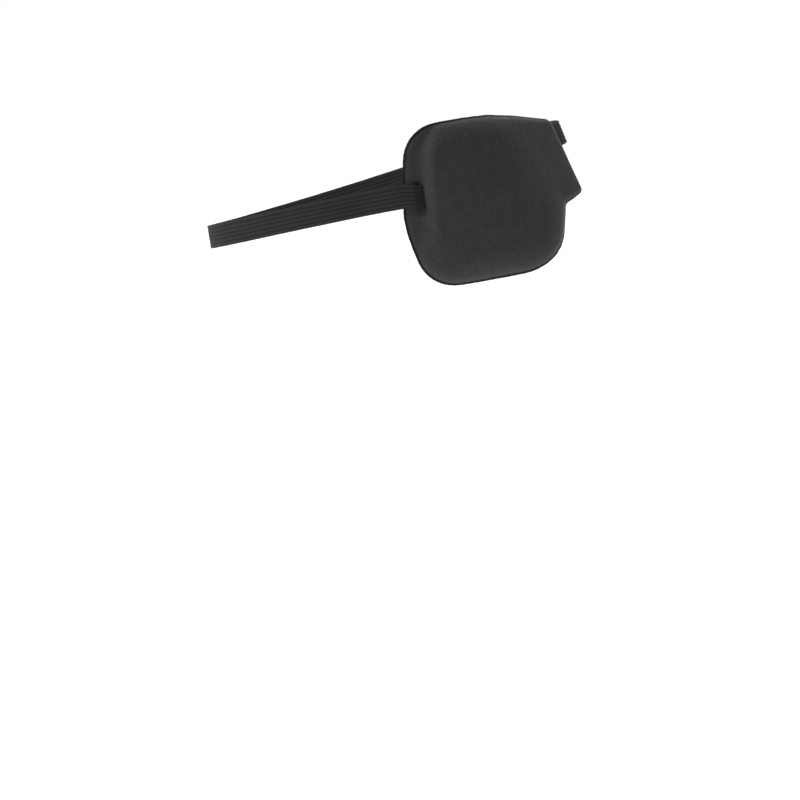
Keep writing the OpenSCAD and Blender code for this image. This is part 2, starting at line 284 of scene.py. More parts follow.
def edge_gap(u, w):
    """Distance from points of the patch to its outline."""
    u, w = np.broadcast_arrays(np.asarray(u, float), w)
    nearest = np.full(u.shape, 1e9)
    for a, b in zip(outline, np.roll(outline, -1, axis=0)):
        side = b - a
        t = np.clip(((u - a[0]) * side[0] + (w - a[1]) * side[1]) / (side @ side), 0, 1)
        nearest = np.minimum(nearest, np.hypot(u - a[0] - t * side[0], w - a[1] - t * side[1]))
    return nearest


def away(u, w):
    """0 at the temple, rising to 1 along the other edges."""
    return 1 - (1 - smooth((u - RIM_START) / RIM_L)) * (1 - smooth((RIM_LOW - w) / RIM_LOW_L))


def dome(u, w):
    a = away(u, w)
    t = np.clip((edge_gap(u, w) - mix(BORDER, RIM_BORDER, a)) / mix(WALL, RIM_WALL, a), 0, 1)
    fade = smooth((u - FADE_START) / FADE_L) * smooth((w - FADE_LOW) / FADE_W)
    return mix(smooth(t), eased(t), a) * (1 - fade)


def crown(u, w):
    r2 = ((u - CROWN_MID[0]) / CROWN_HALF[0]) ** 2 + ((w - CROWN_MID[1]) / CROWN_HALF[1]) ** 2
    return CROWN_H * np.maximum(0, 1 - r2) ** CROWN_POWER


def lap_w(u):
    """Height of the strap's centre line where it lies on the patch."""
    return TEMPLE_Z - LAP_TURN * u * u / (u + LAP_BEND)


def beside_seat(u, w):
    """0 in the flat seat under the strap, 1 clear of it."""
    across = smooth((abs(w - lap_w(np.maximum(0, u))) - SEAT_HALF) / SEAT_SLOPE_W)
    return 1 - (1 - smooth((u - SEAT_L) / SEAT_SLOPE_L)) * (1 - across)


def inner_h(u, w):
    return (DOME_H * dome(u, w) + crown(u, w)) * beside_seat(u, w)


def foam_thickness(u, w):
    gap = edge_gap(u, w)
    swollen = eased((gap - PRESSED * (1 - away(u, w))) / SWELL) * beside_seat(u, w)
    return mix(FOAM_EDGE_T, FOAM_BORDER_T, eased(gap / EDGE_ROLL)) + (FOAM_T - FOAM_BORDER_T) * swollen


def foam_low(u, w):
    return inner_h(u, w) + FABRIC_T + LAYER_GAP


def foam_high(u, w):
    return foam_low(u, w) + foam_thickness(u, w)


def cover_low(u, w):
    return foam_high(u, w) + LAYER_GAP


def cover_high(u, w):
    return cover_low(u, w) + FABRIC_T


# ---------------------------------------------------------------- head loop
rear_depth = LOOP_BACK - SIDE_Y
rear_r = (SIDE_R**2 - side_c[0] ** 2 - rear_depth**2) / (2 * (SIDE_R - rear_depth))
rear_c = np.array([0, LOOP_BACK - rear_r])
rear_angle = math.degrees(math.atan2(rear_c[1] - SIDE_Y, side_c[0]))
left_x = LOOP_HALF_W - LEFT_R
left_c = np.array([left_x, rear_c[1] - math.sqrt((LEFT_R - rear_r) ** 2 - left_x**2)])
rear_left = math.degrees(math.atan2(rear_c[1] - left_c[1], -left_x))
nose_at = face(NOSE_U, NOSE_W, -GAP - HALF_T)
nose_angle = float(face_angle(NOSE_U))
nose_out = polar(1, nose_angle)
nose_d = nose_at[:2] - left_c
brow_r = (LEFT_R**2 - nose_d @ nose_d) / (2 * (LEFT_R - nose_d @ nose_out))
brow_c = nose_at[:2] - brow_r * nose_out
left_angle = math.degrees(math.atan2(*(brow_c - left_c)[::-1]))
LOOP_ARCS = [
    (side_c, SIDE_R, TEMPLE_ANGLE, 180 - rear_angle),
    (rear_c, rear_r, 180 - rear_angle, rear_left),
    (left_c, LEFT_R, rear_left, left_angle),
    (brow_c, brow_r, left_angle, nose_angle - 360),
]
arc_ends = np.cumsum([r * math.radians(a - b) for _, r, a, b in LOOP_ARCS])
loop_l = arc_ends[-1]
back_s = arc_ends[0] + rear_r * math.radians(90 - rear_angle)
RISE_KEYS = [
    (0, TEMPLE_Z, -0.03),
    (back_s, BACK_DROP, 0.03),
    (loop_l - BROW_RUN, BROW_RISE, 0.02),
    (loop_l, nose_at[2], -0.15),
]


def rise(s):
    """Height of the strap: cubic curves between keys of (distance, height, slope)."""
    total = 0
    for i, (a, b) in enumerate(zip(RISE_KEYS, RISE_KEYS[1:])):
        inside = (s >= a[0] if i else True) & (s < b[0] if i < len(RISE_KEYS) - 2 else True)
        length = b[0] - a[0]
        t = (s - a[0]) / length
        curve = a[1] + (b[1] - a[1]) * t * t * (3 - 2 * t)
        curve = curve + length * (a[2] * t * (1 - t) ** 2 - b[2] * t * t * (1 - t))
        total = total + np.where(inside, curve, 0)
    return total


def loop_frame(s):
    """Point, forward, up and outward directions of the strap at distance s, away from the patch."""
    index = np.minimum(np.searchsorted(arc_ends, s), len(LOOP_ARCS) - 1)
    centres = np.array([a[0] for a in LOOP_ARCS])[index]
    radii = np.array([a[1] for a in LOOP_ARCS])[index]
    starts = np.array([a[2] for a in LOOP_ARCS])[index]
    angle = starts - np.degrees((s - np.concatenate([[0], arc_ends])[index]) / radii)
    plan = centres + polar(radii[..., None], angle[..., None])[..., 0, :]
    point = np.concatenate([plan, rise(s)[..., None]], -1)
    out = np.stack([cos_d(angle), sin_d(angle), 0 * s], -1)
    forward = unit(np.stack([sin_d(angle), -cos_d(angle), rise(s + 0.5) - rise(s - 0.5)], -1))
    lean_s = back_s + LEAN_START
    tilt = lean(np.array(NOSE_U)) * smooth((s - lean_s) / (loop_l - lean_s))
    tall = np.stack([0 * s, 0 * s, cos_d(tilt)], -1) - sin_d(tilt)[..., None] * out
    up = unit(tall - (tall * forward).sum(-1, keepdims=True) * forward)
    return point, up, np.cross(up, forward)


def strap_point(s, n, w):
    """Points beside the strap's centre line: n outward, w up.

    The strap lies on the patch at distances s before 0 and past loop_l.
    """
    s, n, w = np.broadcast_arrays(np.asarray(s, float), n, w)
    point, up, out = loop_frame(np.clip(s, 0, loop_l))
    u = np.where(s < 0, -s, NOSE_U - (s - loop_l))
    face_point, face_up, face_out = face_frame(u)
    temple_base = face_point + lap_w(np.maximum(-s, 0))[..., None] * face_up
    nose_base = face_point + NOSE_W * face_up - (GAP + HALF_T) * face_out
    at_temple, at_nose = (s < 0)[..., None], (s > loop_l)[..., None]
    point = np.where(at_temple, temple_base, np.where(at_nose, nose_base, point))
    up = np.where(at_temple | at_nose, face_up, up)
    out = np.where(at_temple | at_nose, face_out, out)
    return point + n[..., None] * out + w[..., None] * up


# ---------------------------------------------------------------- materials
# Ribs of the elastic. The powers set how round they are in the mesh and how narrow the painted shade in
# their grooves is in the colour, and
# ROUND_EDGE_W is the width over which the strap's edges round off.
RIBS = 6
RIB_DEPTH = 0.24
RIB_POWER = 0.4
GROOVE_SHADE_POWER = 0.35
RIB_POINTS = 8
ROUND_EDGE_W = 0.5


def new_material(name, colour, roughness, sheen=0.0, sheen_roughness=0.4, specular=0.3):
    m = bpy.data.materials.new(name)
    m.use_nodes = True
    shader = m.node_tree.nodes["Principled BSDF"]
    shader.inputs["Base Color"].default_value = (*colour, 1)
    shader.inputs["Roughness"].default_value = roughness
    shader.inputs["Specular IOR Level"].default_value = specular
    shader.inputs["Sheen Weight"].default_value = sheen
    shader.inputs["Sheen Roughness"].default_value = sheen_roughness
    return m, shader


class Nodes:
    """Short calls for adding and joining nodes of one material."""

    def __init__(self, material, shader):
        self.tree = material.node_tree
        self.shader = shader

    def add(self, kind, inputs=None, **settings):
        """New node; settings are its own properties, inputs are values by socket name."""
        node = self.tree.nodes.new(kind)
        for key, value in settings.items():
            setattr(node, key, value)
        for socket, value in (inputs or {}).items():
            node.inputs[socket].default_value = value
        return node

    def join(self, a, b, socket):
        self.tree.links.new(a, b.inputs[socket])

    def coordinates(self, kind):
        return self.add("ShaderNodeTexCoord").outputs[kind]

    def noise(self, vector, scale, detail=2.0, roughness=0.5):
        inputs = {"Scale": scale, "Detail": detail, "Roughness": roughness}
        node = self.add("ShaderNodeTexNoise", inputs)
        self.join(vector, node, "Vector")
        return node.outputs["Fac"]

    def cells(self, vector, scale):
        node = self.add("ShaderNodeTexVoronoi", {"Scale": scale})
        self.join(vector, node, "Vector")
        return node.outputs["Distance"]

    def waves(self, vector, scale, direction, distortion):
        inputs = {"Scale": scale, "Distortion": distortion, "Detail": 1.0}
        node = self.add("ShaderNodeTexWave", inputs, bands_direction=direction)
        self.join(vector, node, "Vector")
        return node.outputs["Fac"]

    def maths(self, operation, a, b=0):
        node = self.add("ShaderNodeMath", operation=operation)
        for index, value in enumerate((a, b)):
            if isinstance(value, (int, float)):
                node.inputs[index].default_value = value
            else:
                self.tree.links.new(value, node.inputs[index])
        return node.outputs[0]

    def weighted_sum(self, parts):
        """Sum of (output, share) pairs."""
        total = None
        for output, share in parts:
            scaled = self.maths("MULTIPLY", output, share)
            total = scaled if total is None else self.maths("ADD", total, scaled)
        return total

    def ramp(self, value, stops):
        """stops are (position, brightness) or (position, (r, g, b))."""
        node = self.add("ShaderNodeValToRGB")
        elements = node.color_ramp.elements
        while len(elements) < len(stops):
            elements.new(0.5)
        for element, (position, colour) in zip(elements, stops):
            element.position = position
            rgb = colour if isinstance(colour, tuple) else (colour,) * 3
            element.color = (*rgb, 1)
        self.join(value, node, "Fac")
        return node.outputs["Color"]

    def colour(self, value):
        self.join(value, self.shader, "Base Color")

    def roughness(self, value, low, high):
        node = self.add("ShaderNodeMapRange", {"To Min": low, "To Max": high})
        self.join(value, node, "Value")
        self.join(node.outputs["Result"], self.shader, "Roughness")

    def bumps(self, layers):
        """layers are (height output, depth in millimetres)."""
        normal = None
        for height, depth in layers:
            node = self.add("ShaderNodeBump", {"Strength": 1.0, "Distance": depth * MM})
            self.join(height, node, "Height")
            if normal:
                self.join(normal, node, "Normal")
            normal = node.outputs["Normal"]
        self.join(normal, self.shader, "Normal")


def cloth_material(name, tone, sheen):
    """Smooth stretch knit: fine loops, a brushed nap, faint mottling and a few pale specks of lint."""
    m, shader = new_material(name, (tone,) * 3, 0.7, sheen=sheen, sheen_roughness=0.4, specular=0.14)
    n = Nodes(m, shader)
    flat = n.coordinates("UV")
    solid = n.coordinates("Object")
    loops = n.maths("MULTIPLY", n.waves(flat, 0.62, "X", 0.6), n.waves(flat, 0.5, "Y", 0.6))
    nap = n.noise(solid, 2600, 3.0, 0.6)
    mottle = n.noise(solid, 160, 4.0, 0.62)
    lint = n.maths("LESS_THAN", n.cells(solid, 300), 0.035)
    grain = n.noise(solid, 900, 2.0, 0.7)
    shade = n.weighted_sum([(mottle, 0.3), (nap, 0.2), (grain, 0.5)])
    dark = (tone * 0.65, tone * 0.65, tone * 0.69)
    pale = (tone * 1.35, tone * 1.35, tone * 1.43)
    base = n.ramp(shade, [(0.32, dark), (0.68, pale)])
    specks = n.add("ShaderNodeMix", data_type="RGBA")
    specks.inputs["B"].default_value = (tone * 2.4, tone * 2.4, tone * 2.5, 1)
    n.join(lint, specks, "Factor")
    n.join(base, specks, "A")
    n.colour(specks.outputs["Result"])
    n.roughness(mottle, 0.55, 0.8)
    n.bumps([(n.noise(solid, 90, 2.0), 0.15), (nap, 0.06), (loops, 0.04)])
    return m


def foam_material():
    """Cut foam edge: open cells, dull, with painted shade in the pits."""
    m, shader = new_material("cut_foam", (0.008,) * 3, 0.9, specular=0.1)
    n = Nodes(m, shader)
    solid = n.coordinates("Object")
    pits = n.cells(solid, 3200)
    # The colour darkens towards the middle of each cell, where the bump makes a pit: painted shade.
    n.colour(n.ramp(pits, [(0.0, 0.003), (0.6, 0.012)]))
    n.bumps([(pits, 0.12), (n.noise(solid, 900, 3.0), 0.1)])
    return m


def fused_material():
    """Edge where the press cut and melted the layers together: flat, hard and darker than the cloth."""
    m, shader = new_material("fused_edge", (0.003,) * 3, 0.6, specular=0.1)
    n = Nodes(m, shader)
    grain = n.noise(n.coordinates("Object"), 1500, 3.0)
    n.colour(n.ramp(grain, [(0.3, 0.0015), (0.7, 0.005)]))
    n.bumps([(grain, 0.05)])
    return m


def elastic_material():
    """Braided elastic: the ribs are in the mesh; the painted shade in their grooves, the yarns and the
    fuzz are here.
    """
    tone = (0.0205, 0.0202, 0.0211)
    m, shader = new_material("elastic", tone, 0.85, sheen=0.01, sheen_roughness=0.5, specular=0.03)
    n = Nodes(m, shader)
    flat = n.coordinates("UV")
    solid = n.coordinates("Object")
    split = n.add("ShaderNodeSeparateXYZ")
    n.join(flat, split, "Vector")
    from_edge = n.maths("ADD", split.outputs["Y"], STRAP_W / 2)
    phase = n.maths("MULTIPLY", from_edge, math.pi * RIBS / STRAP_W)
    # rib is low in the grooves between the mesh's ribs and darkens the colour there: painted shade.
    rib = n.maths("POWER", n.maths("ABSOLUTE", n.maths("SINE", phase)), GROOVE_SHADE_POWER)
    yarns = n.waves(flat, 0.55, "DIAGONAL", 0.5)
    picks = n.waves(flat, 0.4, "X", 0.8)
    knit = n.maths("MAXIMUM", yarns, n.maths("MULTIPLY", picks, 0.8))
    fuzz = n.noise(solid, 2400, 3.0, 0.6)
    worn = n.noise(solid, 60, 3.0)
    # Random tone of the yarns, fuzz and wear, times the painted shade in the rib grooves.
    shade = n.maths("MULTIPLY", n.weighted_sum([(knit, 0.35), (fuzz, 0.4), (worn, 0.25)]), rib)
    dark, pale = (tuple(c * level for c in tone) for level in (0.35, 1.7))
    n.colour(n.ramp(shade, [(0.0, dark), (0.75, pale)]))
    n.roughness(fuzz, 0.55, 0.8)
    n.bumps([(knit, 0.12), (fuzz, 0.05)])
    return m


def thread_material():
    """Two-ply polyester thread, a little shinier than the elastic, with painted shade in the groove
    between its plies.
    """
    m, shader = new_material("thread", (0.018,) * 3, 0.8, specular=0.06)
    n = Nodes(m, shader)
    flat = n.coordinates("UV")
    ply = n.waves(flat, 0.7, "DIAGONAL", 0.2)
    # Dark where the ply bump is low: painted shade between the plies.
    n.colour(n.ramp(ply, [(0.0, 0.004), (1.0, 0.038)]))
    n.bumps([(ply, 0.08)])
    return m


def plastic_material():
    """Moulded nylon: fine spark texture, scuffs and edges rounded by shading."""
    m, shader = new_material("moulded_plastic", (0.016, 0.016, 0.017), 0.42, specular=0.5)
    n = Nodes(m, shader)
    solid = n.coordinates("Object")
    grain = n.noise(solid, 1800, 2.0)
    scuffs = n.noise(solid, 220, 5.0, 0.7)
    edge = n.add("ShaderNodeBevel", {"Radius": 0.35 * MM}, samples=8)
    n.colour(n.ramp(scuffs, [(0.35, (0.012, 0.012, 0.013)), (0.75, (0.026, 0.026, 0.028))]))
    n.roughness(scuffs, 0.32, 0.52)
    bump = n.add("ShaderNodeBump", {"Strength": 0.6, "Distance": 0.02 * MM})
    n.join(grain, bump, "Height")
    n.join(edge.outputs["Normal"], bump, "Normal")
    n.join(bump.outputs["Normal"], shader, "Normal")
    return m


cover_cloth = cloth_material("cover_cloth", 0.025, 0.1)
lining_cloth = cloth_material("lining_cloth", 0.015, 0.08)
cut_foam = foam_material()
fused_edge = fused_material()
elastic = elastic_material()
thread = thread_material()
moulded_plastic = plastic_material()


# ---------------------------------------------------------------- mesh helpers
def make_piece(name, points, quads, uv, material, others=()):
    """Smooth mesh from points in millimetres, with uv in millimetres for each vertex."""
    mesh = bpy.data.meshes.new(name)
    faces = [tuple(int(i) for i in polygon) for polygon in (*quads, *others)]
    mesh.from_pydata((np.asarray(points) * MM).tolist(), [], faces)
    layer = mesh.uv_layers.new(name="UVMap")
    corners = np.empty(len(mesh.loops), dtype=np.int32)
    mesh.loops.foreach_get("vertex_index", corners)
    layer.data.foreach_set("uv", np.asarray(uv, np.float32)[corners].ravel())
    mesh.polygons.foreach_set("use_smooth", [True] * len(mesh.polygons))
    mesh.materials.append(material)
    mesh.update()
    piece = bpy.data.objects.new(name, mesh)
    bpy.context.scene.collection.objects.link(piece)
    return piece


def ring_quads(rows, columns):
    """Quads of a grid whose vertex (r, c) is r * columns + c, with its last column joined to its first."""
    r, c = np.meshgrid(np.arange(rows - 1), np.arange(columns), indexing="ij")
    d = (c + 1) % columns
    quads = np.stack([r * columns + c, r * columns + d, (r + 1) * columns + d, (r + 1) * columns + c], -1)
    return quads.reshape(-1, 4)


def end_caps(rows, columns):
    """Faces that close the first and the last row of such a grid."""
    return tuple(range(columns)), tuple(range(rows * columns - 1, (rows - 1) * columns - 1, -1))


def run_along(path):
    """Distance along a path at each of its points."""
    return np.concatenate([[0], np.cumsum(np.linalg.norm(np.diff(path, axis=0), axis=1))])


# ---------------------------------------------------------------- patch layers
RIM_STEP = 1.1
RINGS = 56
RING_CROWDING = 1.5
FUSED_ROWS = 5
ROLL_W = 0.6
# The fray of the cut edge: length of its long waves, and length and share of its short ones
FRAY_L = 9
SHORT_FRAY_L = 3.1
SHORT_FRAY = 0.7
# Slight unevenness of the moulding, as (height, size across, seed)
UNEVEN = [(0.1, 24, 5), (0.04, 7, 6)]

rim = filled(list(outline) + [outline[0]], RIM_STEP)[:-1]
# Share of the way out to the rim of each ring of points; the rings crowd together at the rim.
RING_STEPS = 1 - np.linspace(1, 0, RINGS)[1:] ** RING_CROWDING


def unevenness(u, w):
    return sum(height * ripple(u, w, size, seed) for height, size, seed in UNEVEN) * beside_seat(u, w)


def patch_layer(name, low, high, material, trim, fray, seed, roll):
    """Closed skin between two height functions.

    It is cut trim millimetres inside the outline. Its edge wanders in and out by about fray, at
    most 1.7 times that, and is rolled by roll on each side.
    """
    reach = rim - SPOKE_CENTRE
    length = np.linalg.norm(reach, axis=1)
    turn = np.arange(len(rim))
    short_waves = SHORT_FRAY * ripple(turn, 0 * turn, SHORT_FRAY_L, seed + 1)
    length = length - trim + fray * (ripple(turn, 0 * turn, FRAY_L, seed) + short_waves)
    steps = RING_STEPS[:, None]
    spots = SPOKE_CENTRE + unit(reach)[None] * (length * steps)[..., None]
    inset = length * (1 - steps)
    u, w = spots[..., 0], spots[..., 1]
    rounding = roll * (1 - np.sqrt(np.clip(inset / ROLL_W, 0, 1)))
    top = face(u, w, high(u, w) + unevenness(u, w) - rounding)
    bottom = face(u, w, low(u, w) + unevenness(u, w) + rounding)
    rings, spokes = u.shape
    mid_u, mid_w = SPOKE_CENTRE
    mid = [face(mid_u, mid_w, h(mid_u, mid_w) + unevenness(mid_u, mid_w)) for h in (high, low)]
    points = np.concatenate([top.reshape(-1, 3), bottom.reshape(-1, 3), mid])
    uv = np.concatenate([spots.reshape(-1, 2), spots.reshape(-1, 2), [SPOKE_CENTRE, SPOKE_CENTRE]])
    m = rings * spokes
    upper = ring_quads(rings, spokes)
    lower = upper[:, ::-1] + m
    here = np.arange(spokes)
    there = (here + 1) % spokes
    last, after = m - spokes + here, m - spokes + there
    wall = np.stack([last, after, after + m, last + m], -1)
    quads = np.concatenate([upper, lower, wall])[:, ::-1]
    top_fan = [(2 * m, a, b) for a, b in zip(here, there)]
    bottom_fan = [(2 * m + 1, m + b, m + a) for a, b in zip(here, there)]
    piece = make_piece(name, points, quads, uv, material, top_fan + bottom_fan)
    piece.data.materials.append(fused_edge)
    # The fused edge covers the last few rows of quads and the wall between the two faces.
    rim_start = (rings - 1 - FUSED_ROWS) * spokes
    for polygon in piece.data.polygons:
        inner = min(v % m if v < 2 * m else 0 for v in polygon.vertices)
        if inner >= rim_start:
            polygon.material_index = 1
    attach(piece, "patch")
    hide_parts(name.replace("_cloth", "").replace("_pad", ""))
    return piece


def lining_high(u, w):
    return inner_h(u, w) + FABRIC_T


cover = patch_layer(
    "outer_cover_cloth", cover_low, cover_high, cover_cloth, trim=0.0, fray=0.09, seed=11, roll=0.16,
)
foam = patch_layer(
    "foam_core_pad", foam_low, foam_high, cut_foam, trim=0.25, fray=0.12, seed=21, roll=0.1,
)
lining = patch_layer(
    "inner_lining_cloth", inner_h, lining_high, lining_cloth, trim=0.05, fray=0.09, seed=31, roll=0.16,
)


# ---------------------------------------------------------------- elastic straps
# Slight sideways wave of the elastic: its height, length and seed
EDGE_WAVE = 0.05
EDGE_WAVE_L = 19
EDGE_WAVE_SEED = 41


def elastic_section():
    """Closed section as (across, thickness) points: ribs on both faces and round edges."""
    across = np.linspace(-HALF_W, HALF_W, RIBS * RIB_POINTS + 1)
    rib = np.abs(np.sin(np.pi * (across / STRAP_W + 0.5) * RIBS)) ** RIB_POWER
    edge = np.sqrt(np.clip((HALF_W - abs(across)) / ROUND_EDGE_W, 0, 1))
    half = (HALF_T - RIB_DEPTH + RIB_DEPTH * rib) * edge
    upper = np.stack([across, half], -1)
    lower = np.stack([across[1:-1][::-1], -half[1:-1][::-1]], -1)
    return np.concatenate([upper, lower])


SECTION = elastic_section()


def elastic_piece(name, path, ends=(False, False)):
    """Elastic along a path of (distance, offset); ends says which ends are cut and closed."""
    forward = unit(np.gradient(path, axis=0))
    side = np.stack([-forward[:, 1], forward[:, 0]], -1)
    across, thick = SECTION[:, 0], SECTION[:, 1]
    run = run_along(path) + path[0, 0]
    wave = EDGE_WAVE * ripple(run, 0 * run, EDGE_WAVE_L, EDGE_WAVE_SEED)
    flat = path[:, None, :] + side[:, None, :] * thick[None, :, None]
    points = strap_point(flat[..., 0], flat[..., 1], across[None, :] + wave[:, None])
    rows, columns = points.shape[:2]
    lengths = np.broadcast_to(run[:, None], (rows, columns))
    # The underside's weave lies two strap widths away from the upper side's.
    sides = np.broadcast_to(across + np.where(thick < 0, 2 * STRAP_W, 0), (rows, columns))
    uv = np.stack([lengths, sides], -1).reshape(-1, 2)
    caps = [cap for cap, closed in zip(end_caps(rows, columns), ends) if closed]
    piece = make_piece(name, points.reshape(-1, 3), ring_quads(rows, columns), uv, elastic, caps)
    return piece


def cut(path, a, b):
    """The part of a path over distances a to b, where distance only grows or only falls along it."""
    order = 1 if path[-1, 0] > path[0, 0] else -1
    s, n = path[::order, 0], path[::order, 1]
    inner = (s > a) & (s < b)
    keep = np.concatenate([[a], s[inner], [b]])
    return np.stack([keep, np.interp(keep, s, n)], -1)[::order]


# Paths are (distance round the loop, offset outward). The strap settles from the patch onto the
# loop's line, climbs over the slider's middle bar and goes on to the ring, turns there, runs back
# underneath and ends round the slider's middle bar.
LAP_STEP = 0.5
STRAP_STEP = 1.5
TURN_STEP = 0.9
SHORT_STEP = 1.2

# Keeps the two bends over the slider's middle bar a little apart
BEND_SLACK = 0.05
near_bar = RING_S - BAR_PITCH / 2
far_bar = RING_S + BAR_PITCH / 2

lap = np.arange(-TEMPLE_LAP, SETTLE_L + 0.1, LAP_STEP)
LAP_N = 2 * FABRIC_T + 2 * LAYER_GAP + FOAM_BORDER_T + GAP + HALF_T
lap_n = LAP_N * (1 - smooth(lap / SETTLE_L))
foot = (OVER + UNDER * cos_d(RAMP)) / sin_d(RAMP)
peak = OVER * math.tan(math.radians(RAMP / 2))
climb = rounded_path([
    (SETTLE_L + 4, 0),
    (SLIDER_S - 34, 0, 40),
    (SLIDER_S - 15, SLIDER_N - UNDER, 30),
    (SLIDER_S - foot, SLIDER_N - UNDER, RAMP_R),
    (SLIDER_S - peak, SLIDER_N + OVER, OVER - BEND_SLACK),
    (SLIDER_S + peak, SLIDER_N + OVER, OVER - BEND_SLACK),
    (SLIDER_S + foot, SLIDER_N - UNDER, RAMP_R),
    (SLIDER_S + BAR_PITCH + 3, SLIDER_N - UNDER, RAMP_R),
    (SLIDER_S + BAR_PITCH + 4.5, SLIDER_N - UNDER + 0.6, RAMP_R),
    (near_bar - 12, RING_N + WRAP_R, 30),
    (near_bar, RING_N + WRAP_R),
])
outer_run = filled(list(np.stack([lap, lap_n], -1)) + climb, STRAP_STEP)
ring_turn = arc((near_bar, RING_N), WRAP_R, 90, -90)
inner_foot = (SLIDER_N * cos_d(LOOP_RAMP) - WRAP_R) / sin_d(LOOP_RAMP)
inner_top = (SLIDER_S, SLIDER_N - WRAP_R / cos_d(LOOP_RAMP))
inner_climb = corner((RING_S, 0), (SLIDER_S + inner_foot, 0, 3), inner_top)
slider_turn = arc((SLIDER_S, SLIDER_N), WRAP_R, -90 - LOOP_RAMP, -270 - RAMP)
tail_n = SLIDER_N - UNDER - LAYER
tail_foot = (WRAP_R + (UNDER + LAYER) * cos_d(RAMP)) / sin_d(RAMP)
tail_end = (SLIDER_S + SLIDER_TAIL, tail_n)
tail_top = (SLIDER_S, SLIDER_N + WRAP_R / cos_d(RAMP))
tail = corner(tail_top, (SLIDER_S + tail_foot, tail_n, RAMP_R), tail_end) + [tail_end]

WEAVE_L = SLIDER_TAIL + 2
RING_ZONE = 16
slider_in, slider_out = SLIDER_S - WEAVE_L, SLIDER_S + WEAVE_L
ring_in = RING_S - RING_ZONE
inner_strand = filled([(RING_S, 0), (SLIDER_S, 0)], STRAP_STEP)


def middle(s, n=0.0):
    """A point on the strap's centre line, in metres."""
    return tuple(float(v) for v in strap_point(s, n, 0.0) * MM)


temple_strand = elastic_piece("temple_strand", cut(outer_run, -TEMPLE_LAP, back_s), (True, False))
middle(2)
middle(back_s - 40)
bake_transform(temple_strand)
back_strand = elastic_piece("back_strand", cut(outer_run, back_s, slider_in))
middle(back_s + 40)
middle(slider_in)
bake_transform(back_strand)
slider_weave = elastic_piece("slider_weave", cut(outer_run, slider_in, slider_out))
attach(slider_weave, "slider")
loop_start = list(cut(inner_strand, SLIDER_S + inner_foot + 2, slider_out))
loop_path = filled(loop_start + inner_climb + slider_turn + tail, TURN_STEP)
slider_loop = elastic_piece("slider_loop", loop_path, (False, True))
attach(slider_loop, "slider")
outer_strand = elastic_piece("outer_strand", cut(outer_run, slider_out, ring_in))
middle(slider_out)
middle(ring_in)
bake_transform(outer_strand)
inner_piece = elastic_piece("inner_strand", cut(inner_strand, slider_out, ring_in))
middle(slider_out)
middle(ring_in)
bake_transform(inner_piece)
turn_start, turn_end = (list(cut(strand, ring_in, near_bar)) for strand in (outer_run, inner_strand))
turn_path = filled(turn_start + ring_turn + turn_end, TURN_STEP)
ring_loop = elastic_piece("ring_turn", turn_path)
middle(ring_in + 1, RING_N)
middle(RING_S - BAR_PITCH / 2 - 3, RING_N)
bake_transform(ring_loop)
for piece in (temple_strand, back_strand, slider_weave, slider_loop, outer_strand, inner_piece, ring_loop):
    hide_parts("long_strap")

ring_foot = (WRAP_R + (RING_N - LAYER) * cos_d(RING_RAMP)) / sin_d(RING_RAMP)
short_end = (far_bar + RING_TAIL, LAYER)
short_top = (far_bar, RING_N + WRAP_R / cos_d(RING_RAMP))
short_path = filled(
    [(loop_l + NOSE_LAP, 0), (loop_l, 0)]
    + arc((far_bar, RING_N), WRAP_R, -90, -270 - RING_RAMP)
    + corner(short_top, (far_bar + ring_foot, LAYER, RAMP_R), short_end)
    + [short_end],
    SHORT_STEP,
)
short_strap = elastic_piece("short_strap_elastic", short_path, (True, True))
middle(loop_l - 2)
middle(far_bar + RING_TAIL + 2)
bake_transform(short_strap)
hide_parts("short_strap")


# ---------------------------------------------------------------- sewing thread
THREAD_R = 0.21
THREAD_SIDES = 7
# Share of a thread's direction that is upright before its sides are worked out another way
STEEP = 0.8
TACK_L = 3
TACK_INSET = 0.8
TACK_ROWS = 9
TACK_REACH = 5.4
TEMPLE_BELOW = 6.5
TEMPLE_ABOVE = 7.5
# How far a stitch's end strays along and across the strap
STRAY_S = 0.08
STRAY_W = 0.45
# Points of one stitch, how high the thread rides and how far its ends are pulled in
STITCH_POINTS = 28
THREAD_RIDE = 0.75
THREAD_DIP = 0.25
DIP_STEEPNESS = 12
# Loose end: its points, how far it drifts along the strap and hangs out, and how far it lifts
LOOSE_POINTS = 9
LOOSE_DRIFT = 1.2
LOOSE_L = 1.5
LOOSE_LIFT = 0.2
# Where the thread leaves the strap's face at its edges, and over what width it comes down
FALL_START = 0.1
FALL_W = 0.8


def tube(path):
    """Points, quads, uv and caps of a thread along points in millimetres."""
    path = np.asarray(path, float)
    forward = unit(np.gradient(path, axis=0))
    guide = np.where(np.abs(forward[:, 2:3]) > STEEP, [1.0, 0.3, 0.0], [0.0, 0.0, 1.0])
    across = unit(np.cross(forward, guide))
    over = np.cross(forward, across)
    angles = np.linspace(0, 2 * np.pi, THREAD_SIDES, endpoint=False)
    cos, sin = np.cos(angles)[None, :, None], np.sin(angles)[None, :, None]
    points = path[:, None] + THREAD_R * (cos * across[:, None] + sin * over[:, None])
    uv = np.stack(np.broadcast_arrays(run_along(path)[:, None], THREAD_R * angles[None, :]), -1)
    quads = ring_quads(len(path), THREAD_SIDES)
    return points.reshape(-1, 3), quads, uv.reshape(-1, 2), end_caps(len(path), THREAD_SIDES)


